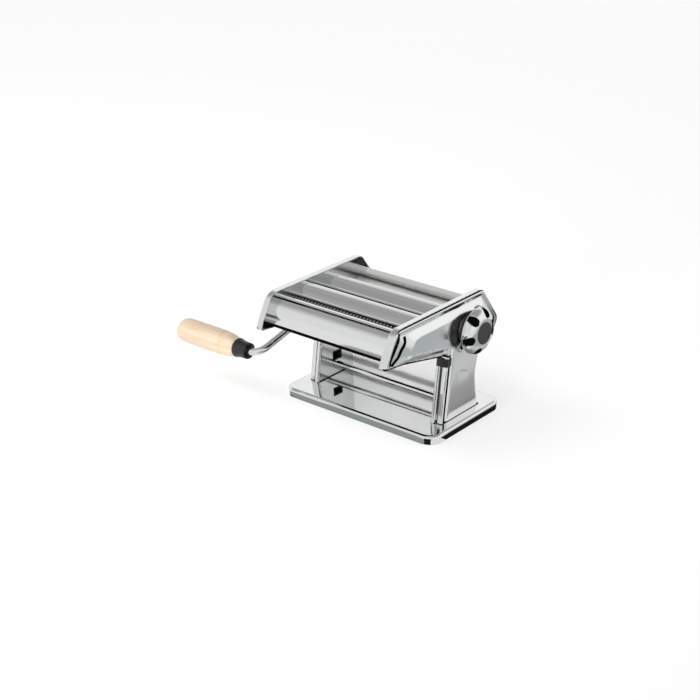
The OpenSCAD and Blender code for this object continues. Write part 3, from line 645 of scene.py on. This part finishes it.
def paint_shade_and_dark_reflections(mesh):
    """Painted shade in black in a shell's gaps and along its head's lower edge, painted dark reflection in
    black along its rim's top edge and in the head's front grooves, satin on its broad faces.
    """
    for finish in (chrome, painted_shade_black, cover_satin):
        mesh.materials.append(finish)
    plain, black, satin = range(3)
    middle = np.array([f.center for f in mesh.polygons]) / MM
    x, y, z = np.abs(middle[:, 0]), middle[:, 1], middle[:, 2]
    spots = middle[:, 1:]
    d, rim = y - front_line(z), signed(spots, HEAD)
    low = z < HEAD_FOOT
    # Painted dark reflection in the two grooves at the head's front
    front_groove_dark_reflection = np.max([signed(spots, gap) for gap in FRONT_GAPS], 0) > 0
    # Painted shade in the column front's recess and groove
    face_gap_shade = (d > 1.8) & (d < 6.2) & (x > 83) & (x < 87.5)
    edge_gap_shade = (d > -1) & (d < 4) & (x > 80) & (x < 81.9)
    # Painted dark reflection along the rim's top edge, painted shade along the head's lower edge
    top_dark_reflection = (rim > 0.25) & (rim < 1.2) & (x > 81) & (((z > 125) & (y > -101)) | (y > 40))
    under_edge_shade = (rim > -0.1) & (rim < 2.5) & (x > 80.5) & (y < -17) & (z < 103)
    index = np.where(low & (x > 85), satin, plain)
    index[~low & (x > 83.9) & ((x > 84.2) | below_border(y, z))] = satin
    index[low & (face_gap_shade | edge_gap_shade)] = black
    index[~low & ((x > 80) & front_groove_dark_reflection | top_dark_reflection | under_edge_shade)] = black
    mesh.polygons.foreach_set("material_index", index.astype(np.int32))


ACCESS_R, SHAFT_HOLE_R = 8.0, 6.2
left_holes = [(DRIVE, ACCESS_R), (WIDE_REAR, ACCESS_R), (NARROW_REAR, ACCESS_R)]
for name, side, holes, old in (("left_shell_skin", -1, left_holes, "left_side_shell"),
                               ("right_shell_skin", 1, [(KNOB, SHAFT_HOLE_R)], "right_side_shell")):
    mesh = shell_mesh(name, side, holes)
    paint_shade_and_dark_reflections(mesh)
    obj = piece(name, mesh, "frame", chrome, (old,), 50)
    solid = obj.modifiers.new("sheet", "SOLIDIFY")
    solid.thickness = SHELL_T * MM
    solid.offset = -1
    bake_modifiers(obj)


def upright_strip(name, side, profile, z0, z1):
    """Strip up a column's front: (x, forward) profile points swept along the leaning edge."""
    rings = []
    for z in np.linspace(z0, z1, 12):
        rings.append([(side * x, front_line(z) + d, z) for x, d in profile])
    return new_mesh(name, *loft(rings))


bead = [(75.9, 0.5), (75.9, -2.0), (76.3, -2.5), (77.1, -2.85), (77.9, -2.95), (78.7, -2.85),
        (79.5, -2.5), (79.92, -2.0), (79.92, 0.5)]
shade_block = [(75.8, 3), (75.8, -2.6), (76.4, -3.1), (86.2, -1.4), (88.2, 0.2), (88.3, 6)]
foot = [(75.8, -31.6), (75.8, -33.9), (80.2, -33.9), (80.6, -31.6), (87.2, -31.6), (88.15, -30.6),
        (88.15, 34.4), (87.6, 35.2), (77, 35.2), (77, -31.6)]
for name, side in (("left", -1), ("right", 1)):
    strip = upright_strip(name + "_bead", side, bead, BASE_H, 72.5)
    piece(name + "_bead", strip, "frame", cover_satin, (), 60)
    # Black block where the column's front meets the head: painted shade in that corner
    strip = upright_strip(name + "_column_shade_block", side, shade_block, 72.3, 80.5)
    piece(name + "_column_shade_block", strip, "frame", black_plastic, (), 40)
    rings = [[(side * x, y, z) for x, y in foot] for z in (BASE_H, BASE_H + 0.7)]
    seal = new_mesh(name + "_foot_seal", *loft(rings))
    piece(name + "_foot_seal", seal, "frame", rubber, (), 40)

# ---- Covers ----
rear_line = smooth_profile(lift([[34, 14.5], [34, 17.9], [46.8, 18.7], [50, 16.5], [63.6, -2.4],
                                 [66, -10], [63.5, -18]]), 2.5)


def arch_line(front_lip, crown, rear):
    """Line of an arch cover: a lip, a low crown, then an arc down behind."""
    front_lip, crown = np.array(front_lip), np.array(crown)
    start = [front_lip, front_lip + [0.5, 1.6]]
    hump = crown + np.array([[-11, -2.1], [-5.5, -0.4], [-2, 0.12], [0.6, -0.1], [3, -1.1], [6, -4.2]])
    return smooth_profile(np.vstack([start, hump, rear]), 1.6, 4)


rear_arch = arch_line([-22.4, AXIS_H + 17.6], [-4.3, AXIS_H + 25.5], arc(along_row(-1.1), 15.2, 119, 69, 12))
front_arch = arch_line([-67.1, AXIS_H + 20.6], [-49, AXIS_H + 29.2], arc(WIDE_FRONT, 14.6, 84, 60, 8))
front_round = arc((-89, AXIS_H + 8.5), 17, 267, 109, 40)
guard_line = smooth_profile(lift([[-90.5, 22], [-90.2, 25.2], [-88.5, 25.6], [-85.5, 25.4]]), 0.8)
for name, old, line, finish in (("rear_cover_skin", "rear_cover", rear_line, brushed_shaded_cover),
                                ("rear_arch_skin", "rear_arch_cover", rear_arch, chrome_cover),
                                ("front_arch_skin", "front_arch_cover", front_arch, chrome_cover),
                                ("front_cover_skin", "front_cover", front_round, cover_satin),
                                ("guard_bar_skin", "guard_bar", guard_line, chrome_cover)):
    sheet = bent_sheet(name, line, SHEET)
    piece(name, sheet, "frame", finish, (old,), 40)
# Black strip along the front cover's lower edge: painted shade under it
front_lip = arc((-89, AXIS_H + 8.5), 17.62, 250, 213, 10)
shade_strip = bent_sheet("front_cover_shade_strip", front_lip, 0.3)
piece("front_cover_shade_strip", shade_strip, "frame", painted_shade_black, (), 40)

# ---- Knob ----
RIM_X, FACE_X, KNOB_R, CAP_R = PANEL_X + 8, PANEL_X + 20.5, 24.5, 11.7
DENTS = [math.radians(10 + 60 * k) for k in range(6)]
DENT_X, DENT_RING, DENT_R, DENT_DEEP, DENT_SHADE_R = 101.5, 20.5, 6.4, 3.4, 4.9


def knob_shape():
    """Profile (x, radius) of the dome from its rim to the cap's seat, in short steps."""
    profile = [(RIM_X, KNOB_R - 1.2), (RIM_X - 0.02, KNOB_R - 0.5), (RIM_X + 0.3, KNOB_R)]
    for a in np.radians(np.linspace(0, 90, 25)):
        profile.append((RIM_X + 2 + (FACE_X - RIM_X - 3.2) * math.sin(a),
                        CAP_R + 0.6 + (KNOB_R - CAP_R - 0.6) * math.cos(a)))
    profile += [(FACE_X - 1.2, CAP_R + 0.1), (FACE_X - 2.4, CAP_R + 0.1)]
    fine = [profile[0]]
    for p, q in zip(profile[:-1], profile[1:]):
        k = max(1, int(math.hypot(q[0] - p[0], q[1] - p[1]) / 0.6))
        fine += [(p[0] + (q[0] - p[0]) * i / k, p[1] + (q[1] - p[1]) * i / k) for i in range(1, k + 1)]
    return fine


def dent_push(x, r, a):
    """Finger dents pressed into the dome, as (dx, dr)."""
    dx = dr = 0.0
    y, z = r * math.cos(a), r * math.sin(a)
    for t in DENTS:
        cy, cz = DENT_RING * math.cos(t), DENT_RING * math.sin(t)
        d = math.sqrt((y - cy) ** 2 + (z - cz) ** 2 + (0.75 * (x - DENT_X)) ** 2)
        if d < DENT_R:
            deep = DENT_DEEP * (0.5 + 0.5 * math.cos(math.pi * d / DENT_R))
            dx -= deep * 0.55
            dr -= deep * 0.8
    return dx, dr


knob_mesh = lathe("knob_shell_skin", knob_shape(), KNOB, 240, dent_push)
knob_mesh.materials.append(chrome)
# The middle of each finger dent is black: painted shade in the dents
knob_mesh.materials.append(painted_shade_black)
for face in knob_mesh.polygons:
    x, y, z = (c / MM for c in face.center)
    near = min(math.hypot(y - KNOB[0] - DENT_RING * math.cos(t), z - KNOB[1] - DENT_RING * math.sin(t))
               for t in DENTS)
    if near < DENT_SHADE_R and x > RIM_X + 1.2:
        face.material_index = 1
piece("knob_shell_skin", knob_mesh, "knob", chrome, ("knob_shell",), 60)
cap_line = [(FACE_X - dx, r) for dx, r in ((2.4, 0), (2.4, CAP_R), (0.9, CAP_R), (0.45, CAP_R - 0.25),
                                           (0.2, CAP_R - 0.8), (0.35, CAP_R - 2.2), (0.35, 0))]
piece("knob_cap_skin", lathe("knob_cap_skin", cap_line, KNOB, 96), "knob", grey_plastic,
      ("knob_cap",), 40)

# ---- Crank, ferrule and grip ----
ROD_R, GRIP_LEN = 4.0, 84
INNER_BEND, OUTER_BEND, BEND_R = BORDER_X + 12, BASE_LEN / 2 + 10.8, 14.0
SPLAY = math.atan((OUTER_BEND - INNER_BEND) / ARM)
GRIP_X = OUTER_BEND + 29
GRIP_END = GRIP_X + GRIP_LEN
FERRULE_X = OUTER_BEND + 12


def crank_mesh():
    """Round rod with two bends and a flattened tip, along a path of (outward, along the arm) points."""
    turn = math.pi / 2 - SPLAY
    reach = BEND_R * math.tan(turn / 2)
    path = []
    tip, flat = 59.8, 67.8
    for x in (tip, tip + 0.4, flat - 0.3, flat, flat + 0.5, 80, INNER_BEND - reach):
        path.append((x, 0.0))
    degrees = math.degrees(turn)
    path += [tuple(p) for p in arc((INNER_BEND - reach, BEND_R), BEND_R, -90, degrees - 90, 18)[1:]]
    path += [tuple(p) for p in arc((OUTER_BEND + reach, ARM - BEND_R), BEND_R, 90 + degrees, 90, 18)]
    path += [(x, ARM) for x in (OUTER_BEND + reach + 20, GRIP_END - 8.4, GRIP_END - 8)]
    line = np.array(path)
    n = 32
    rings = []
    ca, sa = math.cos(ARM_ANGLE), math.sin(ARM_ANGLE)
    for i, p in enumerate(line):
        d = line[min(i + 1, len(line) - 1)] - line[max(i - 1, 0)]
        d /= np.linalg.norm(d)
        r = ROD_R - (0.5 if i in (0, len(line) - 1) else 0)
        ring = []
        for k in range(n):
            a = 2 * math.pi * k / n
            u, w = r * math.cos(a), r * math.sin(a)
            if i <= 2:
                u = float(np.clip(u, -2, 2))
            x = -(p[0] - d[1] * u)
            along = -(p[1] + d[0] * u)
            ring.append((x, DRIVE[0] + along * ca - w * sa, DRIVE[1] + along * sa + w * ca))
        rings.append(ring)
    return new_mesh("crank_skin", *loft(rings))


piece("crank_skin", crank_mesh(), "crank", chrome, ("crank",), 40)
ferrule = [(FERRULE_X + dx, r) for dx, r in (
    (5, 4.2), (4, 5.2), (1.2, 7.4), (0.3, 8.0), (0, 8.4), (0.4, 8.8), (1.4, 9.0), (6, 9.1), (11, 9.5),
    (13.4, 10.1), (14.6, 10.6), (16.2, 10.6), (17, 10.0), (17, 4.2))]
piece("grip_ferrule_skin", lathe("grip_ferrule_skin", ferrule, GRIP, 72, sign=-1), "grip",
      black_plastic, ("grip_ferrule",), 40)
grip_line = [(GRIP_X + dx, r) for dx, r in (
    (0, 4.2), (0, 9.2), (0.5, 9.9), (2, 10.4), (5, 11.2), (9, 12.2), (13, 12.8), (15.4, 12.9), (16, 12.7),
    (16.5, 12.1), (17.3, 12.1), (17.9, 12.8), (19, 13.2), (24, 13.5), (40, 13.6), (56, 13.5))]
grip_line.append((GRIP_END - 12, 13.4))
for a in np.radians(np.linspace(6, 88, 18)):
    grip_line.append((GRIP_END - 11 + 11 * math.sin(a), 3.4 + 10 * math.cos(a) ** 0.75))
grip_line += [(GRIP_END, 2.0), (GRIP_END, 0)]
grip = lathe("grip_skin", grip_line, GRIP, 96, sign=-1)
piece("grip_skin", grip, "grip", wood, ("grip",), 50)

# ---- Spring, copied from the frame onto the knob's body ----
coil = frame["nodes"]["knob_spring"]
coil_points = [tuple((coil.matrix_world @ v.co) / MM) for v in coil.data.vertices]
coil_mesh = new_mesh("knob_spring_skin", coil_points, [tuple(f.vertices) for f in coil.data.polygons])
spring = piece("knob_spring_skin", coil_mesh, "knob", plated, ("knob_spring",), 40)
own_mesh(spring)

# ---- Finishes on the frame's own nodes ----
by_slot = {"chromed_steel": chrome, "plated_steel": plated, "gear_steel": gear_steel,
           "zinc_steel": zinc, "bronze": bronze, "comb_plastic": comb_plastic, "foot_rubber": rubber,
           "black_plastic": black_plastic, "grey_plastic": grey_plastic, "grip_wood": wood}
for part in frame["record"]["subparts"]:
    obj = frame["nodes"][part["node"]]
    finish = by_slot[part["material_slot"]]
    if part["node"].endswith("_roller"):
        finish = satin_roller
    if part["node"].endswith("_inner_plate"):
        finish = plate_soft
    if part["node"] == "slide_plate":
        finish = slide_satin
    obj.data.materials.clear()
    obj.data.materials.append(finish)
    obj.data.shade_smooth()
    obj.data.set_sharp_from_angle(angle=math.radians(30))

# ---- Stage ----
def stage_sheet(name, corners, mat):
    """Flat stage object through corners in metres."""
    mesh = bpy.data.meshes.new(name)
    mesh.from_pydata(corners, [], [tuple(range(len(corners)))])
    mesh.materials.append(mat)
    obj = bpy.data.objects.new(name, mesh)
    scene.collection.objects.link(obj)
    return obj


floor_white = material("floor_white", (0.8, 0.8, 0.8), 0.0, 0.03)
for key, value in (("Emission Color", (1, 1, 1, 1)), ("Emission Strength", 0.3), ("IOR", 3.2)):
    shader_of(floor_white).inputs[key].default_value = value
floor = stage_sheet("floor", [(-4, -4, 0), (4, -4, 0), (4, 4, 0), (-4, 4, 0)], floor_white)
floor.location.z = -0.0002
floor.visible_glossy = False


def card(name, corners, value, z=0.1):
    """Card that only reflections show, lying on the table at height z in millimetres."""
    glow_of = bpy.data.materials.new(name)
    glow_of.use_nodes = True
    glow_of.node_tree.nodes.clear()
    colour = value if isinstance(value, tuple) else (value, value, value)
    glow = node(glow_of, "ShaderNodeEmission", Color=(*colour, 1))
    link(glow_of, glow, "Emission", node(glow_of, "ShaderNodeOutputMaterial"), "Surface")
    obj = stage_sheet(name, [(x * MM, y * MM, z * MM) for x, y in corners], glow_of)
    obj.visible_camera = obj.visible_diffuse = obj.visible_shadow = obj.visible_transmission = False


def flat(x0, x1, y0, y1):
    """Corners of a rectangle on the table."""
    return [(x0, y0), (x1, y0), (x1, y1), (x0, y1)]


card("table_light", flat(-4000, 4000, -4000, 4000), 0.85, -0.1)
# The darker cards beside the base and in front of it paint the table's shade near the machine into
# reflections, and the black card along the base's front edge paints its contact shadow
card("table_front", flat(-110, 90, -65, -80), (0.30, 0.33, 0.32))
card("contact_shade_front", flat(-102, 88, -62.5, -65.2), 0.01, 0.2)
card("table_column", flat(-60, 70, -80, -175), (0.34, 0.35, 0.31))
card("table_near", flat(112, 150, -20, 160), 0.32)
card("table_mid", flat(150, 205, -20, 200), 0.6)
card("table_right", flat(205, 460, -20, 460), (0.42, 0.45, 0.45))
card("table_behind", flat(-100, 60, 75, 150), 0.15)
card("table_back", flat(-380, 60, 150, 460), 0.02)
card("table_rear", flat(40, 230, 220, 480), 0.01, 0.2)
card("table_crank", flat(-420, -102, -25, 150), 0.01)
# Black cards under the head and along the base's right edge: painted shade in reflections
card("shade_under_head", flat(-75, 75, -84, 12), 0.0, 82)
card("contact_shade_right", flat(101, 112, -38, 75), 0.01, 0.3)
card("table_corner", [(89, -63), (40, -440), (250, -500), (430, -372), (95.5, -59.5)], 0.01, 0.3)

# ---- Sky: bright low down and in front, darker above, white where the camera sees it ----
SKY = [(0.0, 1.0), (0.46, 1.0), (0.56, 0.75), (0.67, 0.42), (0.8, 0.37), (1.0, 0.34)]
world = bpy.data.worlds.new("studio")
scene.world = world
world.use_nodes = True
coords = node(world, "ShaderNodeTexCoord")
split = node(world, "ShaderNodeSeparateXYZ")
link(world, coords, "Generated", split, "Vector")
sky = colours(world, split, "Z", [(pos, (v, v, v)) for pos, v in SKY])
front = ramp(world, split, "Y", -0.55, -0.12, 0.0, 1.0)
ceiling = node(world, "ShaderNodeMix", data_type="RGBA")
ceiling.inputs["A"].default_value = (0.8, 0.8, 0.8, 1)
link(world, front, "Result", ceiling, "Factor")
link(world, sky, "Color", ceiling, "B")
paths = node(world, "ShaderNodeLightPath")
seen = node(world, "ShaderNodeMix", data_type="RGBA")
seen.inputs["B"].default_value = (1, 1, 1, 1)
link(world, paths, "Is Camera Ray", seen, "Factor")
link(world, ceiling, "Result", seen, "A")
background = world.node_tree.nodes["Background"]
background.inputs["Strength"].default_value = 1.0
link(world, seen, "Result", background, "Color")


def softbox(name, location, target, size, power):
    """Area light that reflections don't show."""
    lamp = bpy.data.lights.new(name, "AREA")
    lamp.shape = "RECTANGLE"
    lamp.size, lamp.size_y = size
    lamp.energy = power
    obj = bpy.data.objects.new(name, lamp)
    scene.collection.objects.link(obj)
    obj.location = location
    obj.rotation_euler = (Vector(target) - Vector(location)).to_track_quat("-Z", "Y").to_euler()
    obj.visible_glossy = False
    return lamp


low = softbox("low", (0.1, -0.9, 0.14), (0, 0.03, 0.045), (0.5, 0.12), 0.5)
low.spread = math.radians(50)
softbox("key", (-0.9, -0.7, 1.3), (0, 0, 0.05), (0.9, 0.9), 9)

# ---- Camera ----
# Where the photo's camera stood, solved from the base's edges, and its focal length in pixels
AZIMUTH, ELEVATION, FOCAL, PICTURE_W, SENSOR = 39.225, 23.747, 1472.2, 700, 36
camera_data = bpy.data.cameras.new("camera")
camera = bpy.data.objects.new("camera", camera_data)
scene.collection.objects.link(camera)
camera.location = (0.86618, -1.13213, 0.6862)
camera.rotation_euler = (math.radians(90 - ELEVATION), 0, math.radians(AZIMUTH))
camera_data.sensor_width = SENSOR
camera_data.lens = FOCAL / PICTURE_W * SENSOR
camera_data.clip_start = 0.01
scene.camera = camera
scene.view_settings.view_transform = "Standard"
